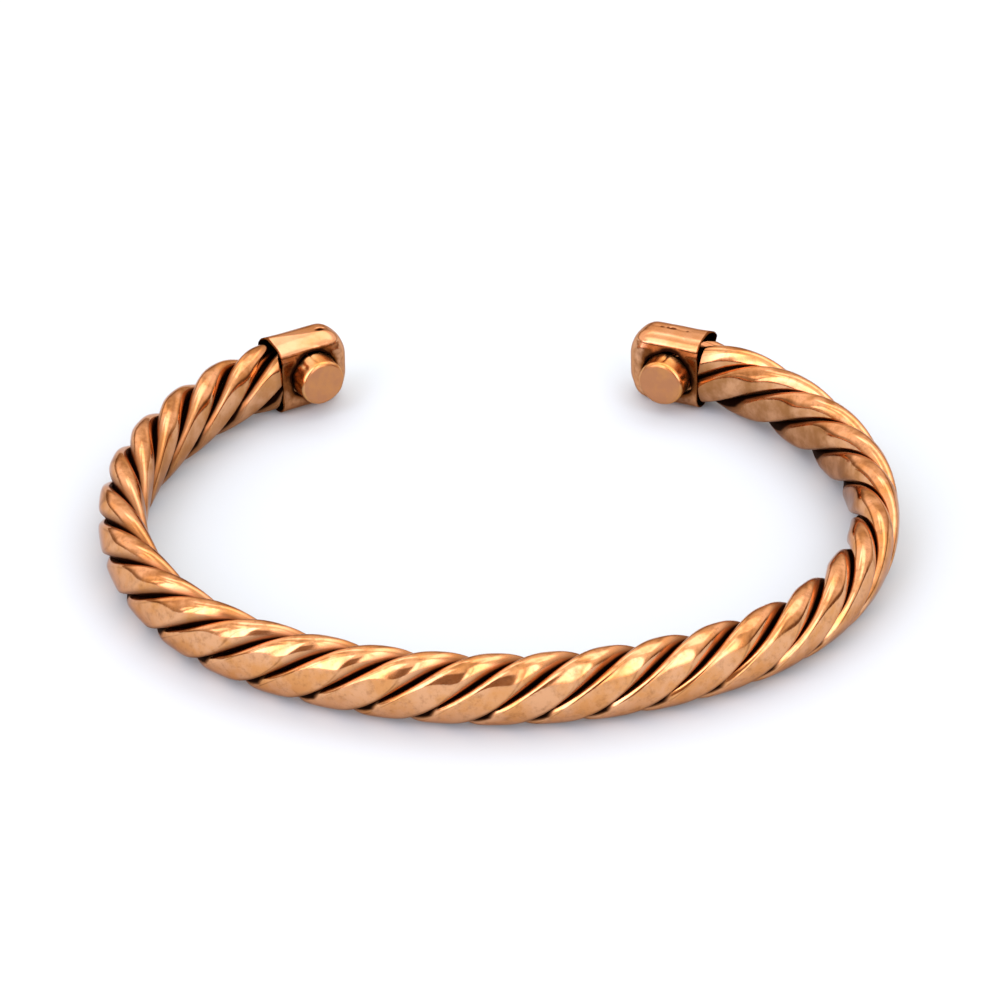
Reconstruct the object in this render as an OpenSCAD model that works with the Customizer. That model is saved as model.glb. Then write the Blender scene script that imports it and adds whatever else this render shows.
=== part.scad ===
// Open cuff bracelet: four copper wires twisted into a rope and pressed flat,
// with a sheet cap over each end and a cased magnet on each cap's inner face.
// It lies on its side: +Z runs through the wrist, -Y is the middle of the front,
// and the gap between the ends faces +Y. Millimetres.

/* [Wire] */
// Diameter of each of the four wires
wire_d = 2.6; // [2.4:0.05:2.65]
// Clear space left between two wires where they touch
wire_gap = 0.05; // [0.04:0.01:0.1]

/* [Twist] */
// Length of one full turn at places lay_step apart, from the left end to the right
lays = [21, 23, 24.5, 20, 18.5, 20, 22, 24, 25]; // each [18:0.5:26]
// Distance between those places
lay_step = 20; // [20:0.1:21]
// Angle of the first wire at the middle of the front, from outward towards up
twist_phase = 39; // [0:1:90]

/* [Flattening] */
// Thickness of the rope between its outer and inner facets
rope_t = 4.06; // [3.9:0.02:4.3]
// Width of the rope, along the wrist
rope_w = 6.26; // [6:0.02:6.4]
// Share of their round thickness that the wires keep when pressed
press_share = 0.74; // [0.68:0.01:0.8]
// Squareness of the pressed outline, 2 is an ellipse
press_square = 2.6; // [2.4:0.1:4]
// Thickness of the rope inside the caps
end_t = 3.6; // [3.4:0.05:3.7]
// Width of the rope inside the caps
end_w = 5.9; // [5.7:0.05:5.9]

/* [Plan] */
// Length of the centreline from the middle of the front to the left end
left_arm = 81.7; // [79:0.1:84]
// Length of the centreline from the middle of the front to the right end
right_arm = 82.6; // [79:0.1:84]
// Half length of the front bend
front_l = 21; // [18:0.1:24]
// Radius of the front bend
front_r = 40.5; // [36:0.5:46]
// Length of each side bend
side_l = 37.1; // [34:0.1:39]
// Radius of each side bend
side_r = 25.2; // [24:0.1:27]
// Radius of the left back bend
left_back_r = 36; // [26:0.5:40]
// Radius of the right back bend
right_back_r = 31.5; // [26:0.5:40]
// Length of the last bend, which ends at the cap
last_l = 6; // [4:0.5:8]
// Radius of the last bend
last_r = 17.5; // [16:0.5:30]

/* [End caps] */
// Length of a cap along the rope
cap_l = 7; // [6.6:0.1:8]
// Width of a cap, along the wrist
cap_w = 7; // [7:0.05:7.4]
// Thickness of a cap, from the outside to the wrist side
cap_t = 4.35; // [4.35:0.05:5]
// Thickness of the sheet
sheet_t = 0.3; // [0.25:0.05:0.3]
// Radius of the closed end's corners
cap_corner_r = 2.2; // [2:0.1:3.2]
// Radius of the cap's long edges
cap_edge_r = 1.6; // [1.4:0.1:1.9]
// Angle by which the right cap's closed end sits low
right_cap_tilt = 2; // [0:0.5:3]

/* [Magnets] */
// Diameter of a cased magnet
magnet_d = 4.5; // [4.3:0.1:4.7]
// How far a magnet stands proud of its cap
magnet_stand = 1.9; // [1.4:0.1:2.6]
// Rounding of the magnet's rim
magnet_rim_r = 0.3; // [0.1:0.05:0.5]
// Distance from a cap's mouth to its magnet's axis, on the left and the right
magnet_place = [3.1, 2.8]; // each [2.7:0.1:3.3]
// Height of a magnet's axis above the middle of its cap, on the left and the right
magnet_rise = [0.25, 0]; // each [-0.25:0.05:0.25]
// Gap between a magnet and the edge of its hole
hole_gap = 0.2; // [0.1:0.05:0.3]

/* [Hidden] */

copper = [0.78, 0.49, 0.33];
polished_copper = [0.85, 0.56, 0.4];
LEFT = -1;
RIGHT = 1;
round_fn = 64;
cut_margin = 1;

wire_r = wire_d / 2;
wire_sides = 16;
// The circle on which the wires' centres lie is about this many wires across
centre_circle = 1.45;
ring_count = 124;

// The tilted right cap rests on z = 0
centre_z = cap_corner_r + (cap_w / 2 - cap_corner_r) * cos(right_cap_tilt)
    + (cap_l / 2 - cap_corner_r) * sin(right_cap_tilt);
// The wires stop this far from the cap's closed end, where its corners begin
corner_gap = 0.5;
wire_stop = cap_corner_r - sheet_t - corner_gap;
// A magnet's foot stands this far above the rope inside the cap
foot_gap = 0.05;
// The rope thins to its size in the caps over this length
thin_l = 2;

function arm_l(side) = side == LEFT ? left_arm : right_arm;
function back_r(side) = side == LEFT ? left_back_r : right_back_r;
function mouth_s(side) = arm_l(side) - cap_l;

// The bends of one arm from the middle of the front: [length, curvature]
BEND_LENGTH = 0;
BEND_CURVE = 1;
function arm_bends(side) = [
    [front_l, 1 / front_r],
    [side_l, 1 / side_r],
    [mouth_s(side) - front_l - side_l - last_l, 1 / back_r(side)],
    [last_l, 1 / last_r],
    [cap_l, 0],
];

// A place on the plan, [x, y, heading], moved on along one bend
function bend_on(at, length, curve) =
    let (turn = length * curve * 180 / PI)
    curve == 0
        ? [at[0] + length * cos(at[2]), at[1] + length * sin(at[2]), at[2]]
        : [at[0] + (sin(at[2] + turn) - sin(at[2])) / curve,
           at[1] - (cos(at[2] + turn) - cos(at[2])) / curve,
           at[2] + turn];

function along(bends, length, at, i = 0) =
    i == len(bends) - 1 || length <= bends[i][BEND_LENGTH]
        ? bend_on(at, length, bends[i][BEND_CURVE])
        : along(bends, length - bends[i][BEND_LENGTH],
                bend_on(at, bends[i][BEND_LENGTH], bends[i][BEND_CURVE]), i + 1);

// Hindmost point of an arm when the middle of the front is at y = 0
function arm_back(side) =
    let (end = along(arm_bends(side), arm_l(side), [0, 0, 0]))
    end[1] - cap_edge_r * sin(end[2]) - (cap_t / 2 - cap_edge_r) * cos(end[2]) + cap_edge_r;

// The origin is in the middle of the plan
front_y = -(max(arm_back(LEFT), arm_back(RIGHT)) - rope_t / 2) / 2;

function plan_at(s) =
    let (at = along(arm_bends(s < 0 ? LEFT : RIGHT), abs(s), [0, front_y, 0]))
    s < 0 ? [-at[0], at[1], -at[2]] : at;

// Angle that the twist turns through from the first of the lays to place s
function lay_place(i) = (i - (len(lays) - 1) / 2) * lay_step;
lay_places = [for (i = [0 : len(lays) - 1]) [lay_place(i), lays[i]]];
function turn_rate(i) = 360 / lays[i];
function turned_to(s, i = 0) =
    let (d = s - lay_place(i))
    i == len(lays) - 2 || d <= lay_step
        ? d * turn_rate(i) + (turn_rate(i + 1) - turn_rate(i)) * d * d / (2 * lay_step)
        : lay_step * (turn_rate(i) + turn_rate(i + 1)) / 2 + turned_to(s, i + 1);
function twist_at(s) = twist_phase + turned_to(s) - turned_to(0);

// The turning leans a wire over, which widens its cut across the rope to this half width
function cut_r(s) = wire_r / cos(atan(PI * centre_circle * wire_d / lookup(s, lay_places)));
// Radius on which the wires' centres lie when each just clears its neighbours
function place_r(s) = sqrt(wire_r * wire_r + cut_r(s) * cut_r(s)) + wire_gap / sqrt(2);

function ease(x) = let (t = max(0, min(1, x))) t * t * (3 - 2 * t);

// Half the rope's thickness and width at place s, which shrink into the caps
function rope_half(s) =
    let (into_cap = ease((abs(s) - mouth_s(s < 0 ? LEFT : RIGHT) + thin_l) / thin_l))
    [rope_t + (end_t - rope_t) * into_cap, rope_w + (end_w - rope_w) * into_cap] / 2;

// A point across the round rope, [outward, up], moved to where pressing leaves it
function pressed(p, half) =
    let (q = [p[0] * press_share, p[1]],
         over = pow(abs(q[0]) / half[0], press_square) + pow(abs(q[1]) / half[1], press_square))
    q * min(1, pow(over, -1 / press_square));

function wire_ring(s, turn) =
    let (at = plan_at(s), half = rope_half(s), a = twist_at(s) + turn,
         middle_r = place_r(s), aside_r = cut_r(s))
    [for (j = [0 : wire_sides - 1])
        let (b = 360 * j / wire_sides,
             out = middle_r + wire_r * cos(b),
             aside = aside_r * sin(b),
             q = pressed([out * cos(a) - aside * sin(a), out * sin(a) + aside * cos(a)], half))
        [at[0] + q[0] * sin(at[2]), at[1] - q[0] * cos(at[2]), centre_z + q[1]]];

// The two triangles for each side between a ring and the next
function ring_faces(i) = [
    for (j = [0 : wire_sides - 1])
        let (k = (j + 1) % wire_sides, a = i * wire_sides, b = a + wire_sides)
        each [[a + j, a + k, b + k], [a + j, b + k, b + j]]];

module wire(number) {
    turn = 90 * (number - 1);
    first_s = wire_stop - left_arm;
    ring_step = (right_arm + left_arm - 2 * wire_stop) / (ring_count - 1);
    points = [for (i = [0 : ring_count - 1]) each wire_ring(first_s + i * ring_step, turn)];
    first_end = [for (j = [wire_sides - 1 : -1 : 0]) j];
    last_end = [for (j = [0 : wire_sides - 1]) (ring_count - 1) * wire_sides + j];
    sides = [for (i = [0 : ring_count - 2]) each ring_faces(i)];
    color(copper) polyhedron(points, concat([first_end], sides, [last_end]), convexity = 10);
}

// Half of a strip's section, x from its middle to its rounded edge at reach
module edge_outline(reach, t, edge_r) {
    translate([0, -t / 2]) square([reach - edge_r, t]);
    translate([0, -t / 2 + edge_r]) square([reach, t - 2 * edge_r]);
    intersection() {
        translate([0, -t / 2]) square([reach, t]);
        for (y = [-1, 1] * (t / 2 - edge_r))
            translate([reach - edge_r, y]) circle(edge_r, $fn = round_fn);
    }
}

// A block with round edges, from x = 0 to its closed end, thickness along y and width along z
module block(length, w, t, corner_r, edge_r) {
    flat_l = length - corner_r;
    flat_w = w - 2 * corner_r;
    translate([0, -t / 2, -flat_w / 2]) cube([flat_l, t, flat_w]);
    translate([flat_l, 0, -flat_w / 2])
        linear_extrude(flat_w) edge_outline(corner_r, t, edge_r);
    for (turn = [0, 180]) rotate([turn, 0, 0]) translate([flat_l, 0, flat_w / 2]) {
        rotate([90, 0, 0])
            rotate_extrude(angle = 90, $fn = round_fn) edge_outline(corner_r, t, edge_r);
        rotate([0, -90, 0]) linear_extrude(flat_l) edge_outline(corner_r, t, edge_r);
    }
}

// Puts a piece that is made at a cap's mouth, with x into the cap and y towards the wrist
module at_cap(side) {
    mouth = along(arm_bends(side), mouth_s(side), [0, front_y, 0]);
    tilt = side == RIGHT ? right_cap_tilt : 0;
    mirror([side == LEFT ? 1 : 0, 0, 0])
        translate([mouth[0], mouth[1], centre_z]) rotate([0, 0, mouth[2]])
            translate([cap_l / 2, 0, 0]) rotate([0, tilt, 0]) translate([-cap_l / 2, 0, 0]) children();
}

// Puts a round piece that stands on z = 0 at a cap's magnet, with z towards the wrist
module at_magnet(side) {
    column = side == LEFT ? 0 : 1;
    translate([magnet_place[column], 0, magnet_rise[column]]) rotate([-90, 0, 0]) children();
}

module end_cap(side) {
    color(copper) at_cap(side) difference() {
        block(cap_l, cap_w, cap_t, cap_corner_r, cap_edge_r);
        translate([-cut_margin, 0, 0])
            block(cap_l - sheet_t + cut_margin, cap_w - 2 * sheet_t, cap_t - 2 * sheet_t,
                  cap_corner_r - sheet_t, cap_edge_r - sheet_t);
        at_magnet(side)
            cylinder(h = cap_t, r = magnet_d / 2 + hole_gap, $fn = round_fn);
    }
}

module magnet(side) {
    foot_y = end_t / 2 + foot_gap;
    top_y = cap_t / 2 + magnet_stand;
    color(polished_copper) at_cap(side)
        at_magnet(side) rotate_extrude($fn = round_fn) {
            translate([0, foot_y]) square([magnet_d / 2, top_y - magnet_rim_r - foot_y]);
            translate([0, foot_y]) square([magnet_d / 2 - magnet_rim_r, top_y - foot_y]);
            intersection() {
                translate([magnet_d / 2 - magnet_rim_r, top_y - magnet_rim_r])
                    circle(magnet_rim_r, $fn = round_fn);
                translate([0, foot_y]) square([magnet_d / 2, top_y - foot_y]);
            }
        }
}

wire(1);  // wire_1
wire(2);  // wire_2
wire(3);  // wire_3
wire(4);  // wire_4
end_cap(LEFT);  // end_cap_left
end_cap(RIGHT);  // end_cap_right
magnet(LEFT);  // magnet_left
magnet(RIGHT);  // magnet_right
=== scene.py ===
import math
from functools import partial
import bmesh
import bpy
from mathutils import Matrix, Vector, noise


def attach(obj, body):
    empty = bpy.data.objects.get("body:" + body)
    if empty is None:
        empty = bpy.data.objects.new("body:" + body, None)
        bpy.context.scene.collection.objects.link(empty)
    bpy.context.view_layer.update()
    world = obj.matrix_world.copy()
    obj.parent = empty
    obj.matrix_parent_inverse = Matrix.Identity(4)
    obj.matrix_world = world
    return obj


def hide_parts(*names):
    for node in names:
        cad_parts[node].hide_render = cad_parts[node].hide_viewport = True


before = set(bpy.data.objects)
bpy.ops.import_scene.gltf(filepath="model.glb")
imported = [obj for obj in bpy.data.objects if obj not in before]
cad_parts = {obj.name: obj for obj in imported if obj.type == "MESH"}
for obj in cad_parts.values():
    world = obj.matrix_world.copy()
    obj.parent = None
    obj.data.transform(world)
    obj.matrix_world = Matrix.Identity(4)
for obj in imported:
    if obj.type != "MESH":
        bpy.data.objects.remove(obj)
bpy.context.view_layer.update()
mm = 0.001
print("frame loaded:", ", ".join(sorted(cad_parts)))


def addNode(tree, kind, links=None, **settings):
    # adds one node, sets its options, fills its sockets with values or other sockets, and gives
    # its outputs. A kind without the word Node is short for a shader node's
    node = tree.nodes.new(kind if "Node" in kind else "ShaderNode" + kind)
    for name, value in settings.items():
        setattr(node, name, value)
    for socket, value in (links or {}).items():
        if isinstance(value, bpy.types.NodeSocket):
            tree.links.new(value, node.inputs[socket])
        else:
            node.inputs[socket].default_value = value
    return node.outputs


def hexColor(text):
    # sRGB hex to the linear colour that sockets take
    channels = [int(text[i:i + 2], 16) / 255 for i in (1, 3, 5)]
    return [c / 12.92 if c <= 0.04045 else ((c + 0.055) / 1.055) ** 2.4 for c in channels] + [1]


def addObject(name, data):
    piece = bpy.data.objects.new(name, data)
    bpy.context.scene.collection.objects.link(piece)
    return piece


# Camera at the photograph's angle, aimed so that the cuff sits where it does there
view = {
    "centre": (0, 0.41, 3.54),  # mm, the point that it turns about
    "elevation": 33,
    "azimuth": -0.92,
    "distance": 400,
    "aim": (0.08, 1.07),  # mm that the aim lies right of and above the centre
    "lens": 165.1,
    "sensor": 36,
    "nearest": 10,  # mm from the camera, where its view begins
}


def addCamera():
    data = bpy.data.cameras.new("camera")
    data.lens = view["lens"]
    data.sensor_width = view["sensor"]
    data.clip_start = view["nearest"] * mm
    camera = addObject("camera", data)
    rise = math.radians(view["elevation"])
    turn = Matrix.Rotation(math.radians(view["azimuth"]), 3, "Z")
    back = turn @ Vector((0, -math.cos(rise), math.sin(rise)))
    axes = back.to_track_quat("Z", "Y").to_matrix()
    centre = Vector(view["centre"])
    place = centre + back * view["distance"]
    target = centre + axes.col[0] * view["aim"][0] + axes.col[1] * view["aim"][1]
    camera.matrix_world = (place - target).to_track_quat("Z", "Y").to_matrix().to_4x4()
    camera.location = place * mm
    bpy.context.scene.camera = camera


addCamera()

# What the copper finishes share
polish = {
    "octaves": (4, 0.6),  # detail and roughness of the noise that places patches and marks
    "warmFrom": (0.42, 0.62),  # patch noise where the metal starts to turn warmer and where it is warmest
    "roughFrom": (0.35, 0.7),  # mark noise where it is smoothest and where it is roughest
    "bump": 0.5,
}

# Solid copper wire, drawn, twisted, rolled flat and polished: warm bright crests with small
# dents in the polish, and black oxide and brown tarnish where the polishing wheel can't reach, partly
# painted shade
copperWire = {
    "bright": "#E2A87B",
    "warm": "#DB995F",
    "edgeTint": "#DECDC6",  # of the light that it reflects at a low angle
    "roughness": (0.08, 0.16),  # between the marks and on them
    "patch": 2.4,  # mm across a warmer patch
    "mark": 0.45,  # mm across a polishing mark, drawn coarser than a real one so that it shows
    "markHeight": 0.006,  # mm
    "dieLine": (0.16, 3.5),  # mm across and along a streak from drawing the wire, coarser than real too
    "dieShare": 0.45,  # how much of the marks are such streaks
    "oxideAndShade": "#140602",
    "oxideRoughness": 0.6,
    "oxideAndShadeEdge": (-0.1, -0.6),  # cosine round the wire from its crest where the oxide ends, on each flank; the flank in shade gets more, as painted shade
    "oxideAndShadeLow": (0.25, 0.06),  # the same low on the rope, where more is painted into the grooves as shade
    "lowHeight": (3.2, 1.85),  # mm, where the second starts to take over and where it has done so
    "flankSpan": 0.4,  # sine round the wire from its crest by which a flank's own value is reached
    "oxideFade": 0.2,
    "oxideWaver": 0.1,  # how far the marks shift the oxide's edge
    "tarnishAndShade": "#724628",
    "tarnishRoughness": 0.4,
    "tarnishAndShadeReach": (0.72, 0.24),  # how much further out than the oxide it fades away, on each flank, partly as painted shade beside the grooves
    "tarnishMost": 0.85,
    "wheel": (1, -0.2),  # share of the way to the wrist side where the wheel reaches least and fully, which also places the painted shade towards the wrist
    "insideReach": (0.18, 0.38),  # how much further out oxide and tarnish come where it reaches least, partly painted shade for the hollow inside the cuff
    "wristTarnishAndShade": (0.42, 0.66),  # how brown the side towards the wrist is painted, tarnish and painted shade for the hollow inside the cuff, on the left and the right arm
    "armPlace": 20,  # mm left or right of the middle where those hold
    "wristPatch": (2, 1.3, 2.3),  # weight of the patches there, and where the brown begins and is full
    "mouthShadeAndTarnish": 0.7,  # how brown the wires are painted right beside the caps: painted shade from the caps, and tarnish
    "burr": 0.03,  # half width of the brown line along a facet, as a share of the rope's half size
    "burrFrom": (0.4, 0.6),  # patch noise where the line is worn and where it isn't
    "burrTarnish": (0.05, 0.6),  # how brown it is in each
    "speck": 0.7,  # mm between dark specks
    "speckOctaves": (3, 0.7),
    "speckFrom": (0.5, 0.76),  # speck noise where a speck begins and where it is full
    "speckTarnish": 0.45,
}

# Copper sheet, cut, folded into a sheath and polished: the same metal with an even skin, darkened where its
# mesh places soot and painted shade
copperSheet = {
    "bright": "#D9A27B",
    "warm": "#CD9162",
    "edgeTint": "#D4BEB2",
    "roughness": (0.15, 0.26),
    "patch": 3.5,
    "mark": 0.6,
    "markHeight": 0.006,
    "tarnishedAndShaded": "#74421F",
    "soot_and_shade": "#1C0B05",
    "sootRoughness": 0.5,
}

# Thin copper pressed over a magnet: satin on its face from the press, the face's colour darker partly as
# painted shade, bright on its rim
magnetCase = {
    "bright": "#E4AE78",
    "warm": "#DC9A58",
    "edgeTint": "#D4BEB2",
    "roughness": (0.2, 0.28),
    "patch": 1.6,
    "mark": 0.8,
    "markHeight": 0.003,
    "satin_and_shade": ("#B77D57", "#C28655"),  # on its pressed face, outside and inside the warmer patches; darker than the side, partly as painted shade
    "satinRoughness": 0.33,
    "tarnishedAndShaded": "#B4753F",
    "soot_and_shade": "#1C0B05",
    "sootRoughness": 0.5,
}

# Soot and painted shade on the sheet and the cases, as their meshes place it
sootAndShadeEdge = {
    "waver": 0.5,  # how far the marks shift its edge
    "brown": (0.28, 0.75),  # soot where the metal starts to turn brown and where it is brown
    "black": (0.7, 1.15),
}


def addSatinAndShade(add, finish, warmth, colour, rough):
    # the pressed face's satin finish, its colour darker than the side partly as painted shade
    satin_and_shade = add("Attribute", attribute_name="satin_and_shade")["Fac"]
    first, second = finish["satin_and_shade"]
    pressed = add("Mix", {0: warmth, 6: hexColor(first), 7: hexColor(second)}, data_type="RGBA")[2]
    colour = add("Mix", {0: satin_and_shade, 6: colour, 7: pressed}, data_type="RGBA")[2]
    rough = add("Mix", {0: satin_and_shade, 2: rough, 3: finish["satinRoughness"]})[0]
    return colour, rough


def addSootAndShade(add, finish, marks, colour, rough):
    # soot and painted shade from the meshes, turned brown and then black
    soot_and_shade = add("Attribute", attribute_name="soot_and_shade")["Fac"]
    uneven = add("Math", {0: marks, 1: sootAndShadeEdge["waver"], 2: soot_and_shade}, operation="MULTIPLY_ADD")[0]
    for shade, (low, high) in (("tarnishedAndShaded", sootAndShadeEdge["brown"]), ("soot_and_shade", sootAndShadeEdge["black"])):
        cover = add("MapRange", {0: uneven, 1: low, 2: high}, interpolation_type="SMOOTHSTEP")[0]
        colour = add("Mix", {0: cover, 6: colour, 7: hexColor(finish[shade])}, data_type="RGBA")[2]
    rough = add("Mix", {0: cover, 2: rough, 3: finish["sootRoughness"]})[0]
    return colour, rough


def addOxideAndShade(add, finish, place, patches, marks, colour, rough):
    # black oxide in the grooves and brown tarnish beyond it, from the attributes of the wire's mesh; both
    # are partly painted shade, more on the flank in shade, low on the rope, towards the wrist and beside
    # the caps
    given = {}
    for name in ("crown", "flank", "wrist_side", "facet_edge", "sheltered"):
        given[name] = add("Attribute", attribute_name=name)["Fac"]
    least, full = finish["wheel"]
    outer = add("MapRange", {0: given["wrist_side"], 1: least, 2: full})[0]
    inner = add("Math", {0: 1, 1: outer}, operation="SUBTRACT")[0]
    facing = add("Math", {0: given["flank"], 1: outer}, operation="MULTIPLY")[0]
    flanks = {}
    span = finish["flankSpan"]
    for name in ("oxideAndShadeEdge", "oxideAndShadeLow", "tarnishAndShadeReach"):
        first, second = finish[name]
        flanks[name] = add("MapRange", {0: facing, 1: -span, 2: span, 3: first, 4: second})[0]
    across, _, height = add("SeparateXYZ", {0: place})
    high, low = finish["lowHeight"]
    below = add("MapRange", {0: height, 1: high * mm, 2: low * mm})[0]
    end = add("Mix", {0: below, 2: flanks["oxideAndShadeEdge"], 3: flanks["oxideAndShadeLow"]})[0]
    moreOxide, moreTarnish = finish["insideReach"]
    end = add("Math", {0: inner, 1: moreOxide, 2: end}, operation="MULTIPLY_ADD")[0]
    reach = add("Math", {0: inner, 1: moreTarnish, 2: flanks["tarnishAndShadeReach"]}, operation="MULTIPLY_ADD")[0]
    beyond = add("Math", {0: given["crown"], 1: end}, operation="SUBTRACT")[0]
    uneven = add("Math", {0: marks, 1: finish["oxideWaver"], 2: beyond}, operation="MULTIPLY_ADD")[0]
    middle, fade = finish["oxideWaver"] / 2, finish["oxideFade"] / 2
    oxideAndShade = add("MapRange", {0: uneven, 1: middle + fade, 2: middle - fade},
                interpolation_type="SMOOTHSTEP")[0]
    brown = add("MapRange", {0: uneven, 1: reach, 2: middle, 3: 0, 4: finish["tarnishMost"]},
                interpolation_type="SMOOTHSTEP")[0]
    rough = add("Mix", {0: brown, 2: rough, 3: finish["tarnishRoughness"]})[0]
    for other in (wristBrown(add, finish, across, patches, given["wrist_side"]),
                  burrBrown(add, finish, patches, given["facet_edge"]),
                  speckBrown(add, finish, place),
                  add("Math", {0: given["sheltered"], 1: finish["mouthShadeAndTarnish"]}, operation="MULTIPLY")[0]):
        brown = add("Math", {0: brown, 1: other}, operation="MAXIMUM")[0]
    colour = add("Mix", {0: brown, 6: colour, 7: hexColor(finish["tarnishAndShade"])}, data_type="RGBA")[2]
    colour = add("Mix", {0: oxideAndShade, 6: colour, 7: hexColor(finish["oxideAndShade"])}, data_type="RGBA")[2]
    rough = add("Mix", {0: oxideAndShade, 2: rough, 3: finish["oxideRoughness"]})[0]
    return colour, rough


def wristBrown(add, finish, across, patches, wristSide):
    # tarnish and painted shade in patches on the side towards the wrist
    left, right = finish["wristTarnishAndShade"]
    reach = finish["armPlace"] * mm
    most = add("MapRange", {0: across, 1: -reach, 2: reach, 3: left, 4: right})[0]
    weight, begin, full = finish["wristPatch"]
    patchy = add("Math", {0: patches, 1: weight, 2: wristSide}, operation="MULTIPLY_ADD")[0]
    return add("MapRange", {0: patchy, 1: begin, 2: full, 3: 0, 4: most},
               interpolation_type="SMOOTHSTEP")[0]


def burrBrown(add, finish, patches, facetEdge):
    # a line of tarnish along the edge of each pressed facet, worn away in places
    off = add("Math", {0: facetEdge}, operation="ABSOLUTE")[0]
    line = add("MapRange", {0: off, 1: finish["burr"], 2: 0}, interpolation_type="SMOOTHSTEP")[0]
    (worn, kept), (least, most) = finish["burrFrom"], finish["burrTarnish"]
    left = add("MapRange", {0: patches, 1: worn, 2: kept, 3: least, 4: most})[0]
    return add("Math", {0: line, 1: left}, operation="MULTIPLY")[0]


def speckBrown(add, finish, place):
    detail, share = finish["speckOctaves"]
    specks = add("TexNoise", {"Vector": place, "Scale": 1 / (finish["speck"] * mm), "Detail": detail,
                              "Roughness": share})["Fac"]
    begin, full = finish["speckFrom"]
    return add("MapRange", {0: specks, 1: begin, 2: full, 3: 0, 4: finish["speckTarnish"]})[0]


def copperMaterial(name, finish):
    material = bpy.data.materials.new(name)
    material.use_nodes = True
    material.node_tree.nodes.clear()
    add = partial(addNode, material.node_tree)
    place = add("TexCoord")["Object"]
    detail, share = polish["octaves"]
    patches, marks = [add("TexNoise", {"Vector": place, "Scale": 1 / (finish[size] * mm),
                                       "Detail": detail, "Roughness": share})["Fac"]
                      for size in ("patch", "mark")]
    if "dieLine" in finish:
        across, along = [1 / (size * mm) for size in finish["dieLine"]]
        drawn = add("Attribute", attribute_name="along_wire")["Vector"]
        drawn = add("Mapping", {"Vector": drawn, "Scale": (across, across, along)})[0]
        lines = add("TexNoise", {"Vector": drawn, "Scale": 1, "Detail": 2})["Fac"]
        marks = add("Mix", {0: finish["dieShare"], 2: marks, 3: lines})[0]
    low, high = polish["warmFrom"]
    warmth = add("MapRange", {0: patches, 1: low, 2: high})[0]
    colour = add("Mix", {0: warmth, 6: hexColor(finish["bright"]), 7: hexColor(finish["warm"])},
                 data_type="RGBA")[2]
    low, high = polish["roughFrom"]
    smooth, marked = finish["roughness"]
    rough = add("MapRange", {0: marks, 1: low, 2: high, 3: smooth, 4: marked})[0]
    if "satin_and_shade" in finish:
        colour, rough = addSatinAndShade(add, finish, warmth, colour, rough)
    if "soot_and_shade" in finish:
        colour, rough = addSootAndShade(add, finish, marks, colour, rough)
    if "oxideAndShade" in finish:
        colour, rough = addOxideAndShade(add, finish, place, patches, marks, colour, rough)
    bump = add("Bump", {"Height": marks, "Strength": polish["bump"],
                        "Distance": finish["markHeight"] * mm})[0]
    metal = add("BsdfPrincipled", {"Base Color": colour, "Metallic": 1, "Roughness": rough,
                                   "Specular Tint": hexColor(finish["edgeTint"]), "Normal": bump})[0]
    add("OutputMaterial", {"Surface": metal})
    return material


wireCopper = copperMaterial("polished_copper_wire", copperWire)
sheetCopper = copperMaterial("polished_copper_sheet", copperSheet)
caseCopper = copperMaterial("satin_copper_case", magnetCase)
print("materials made")

# The rope's plan and twist, in mm and degrees, as the solids have them
rope = {
    "arms": (81.7, 82.6),  # from the middle of the front to the left and the right end
    "front": (21, 40.5),  # length and radius of each bend
    "side": (37.1, 25.2),
    "backRadius": (36, 31.5),
    "last": (6, 17.5),
    "capLength": 7,
    "frontY": -26.447,  # the middle of the rope there, from the frame's origin
    "centreZ": 3.545,
    "lays": (21, 23, 24.5, 20, 18.5, 20, 22, 24, 25),  # length of a turn at places 20 mm apart
    "layStep": 20,
    "phase": 39,
    "half": (2.12, 3.29),  # half the rope's thickness and width
    "halfInCap": (1.94, 3.16),
    "thinLength": 0.25,  # over which it thins to that
    "shelter": 2.2,  # the wires are painted darker this close to a cap: painted shade from the cap, and tarnish where the polishing wheel doesn't reach well
    "stop": 1.4,  # the wires end this far short of the caps' closed ends
    "step": 0.1,  # between the points of its line
}

wire = {
    "diameter": 2.66,
    "gap": -0.02,  # less than nothing, so the wires press a little into each other
    "centreCircle": 1.45,  # the wires' centres lie on a circle this many wires across
    "sides": 56,
    "rings": 1500,
    "pressShare": 0.74,
    "pressSquare": 2.4,
    "flatSquare": 1.9,  # the outline's squareness along the lower outer edge, which is pressed flatter
    "flatReach": 0.05,  # how much further out the wires lie there before the pressing
    "crease": 0.13,  # softness of the edge where a pressed facet begins
    "dentSize": 3.2,
    "dentHeight": 0.05,
    "dentDetail": 2.0,
}


def smoothStep(x):
    x = max(0.0, min(1.0, x))
    return x * x * (3 - 2 * x)


def armPoints(side):
    # walks along one arm from the middle of the front: [s, x, y, heading] for each step
    column = 0 if side < 0 else 1
    arm = rope["arms"][column]
    mouth = arm - rope["capLength"]
    bends = [rope["front"], rope["side"],
             (mouth - rope["front"][0] - rope["side"][0] - rope["last"][0], rope["backRadius"][column]),
             rope["last"], (rope["capLength"], math.inf)]
    points = []
    s, x, y, heading = 0.0, 0.0, rope["frontY"], 0.0
    steps = round((arm - rope["stop"]) / rope["step"])
    for i in range(steps + 1):
        points.append((side * s, side * x, y, side * heading))
        passed = 0
        for length, radius in bends:
            passed += length
            if s + rope["step"] / 2 < passed:
                break
        turned = rope["step"] / radius
        x += rope["step"] * math.cos(heading + turned / 2)
        y += rope["step"] * math.sin(heading + turned / 2)
        heading += turned
        s += rope["step"]
    return points


def layAt(s):
    # which of the lays a place comes after, and its share of the way to the next
    place = s / rope["layStep"] + (len(rope["lays"]) - 1) / 2
    i = max(0, min(len(rope["lays"]) - 2, int(place)))
    return i, place - i


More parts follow.
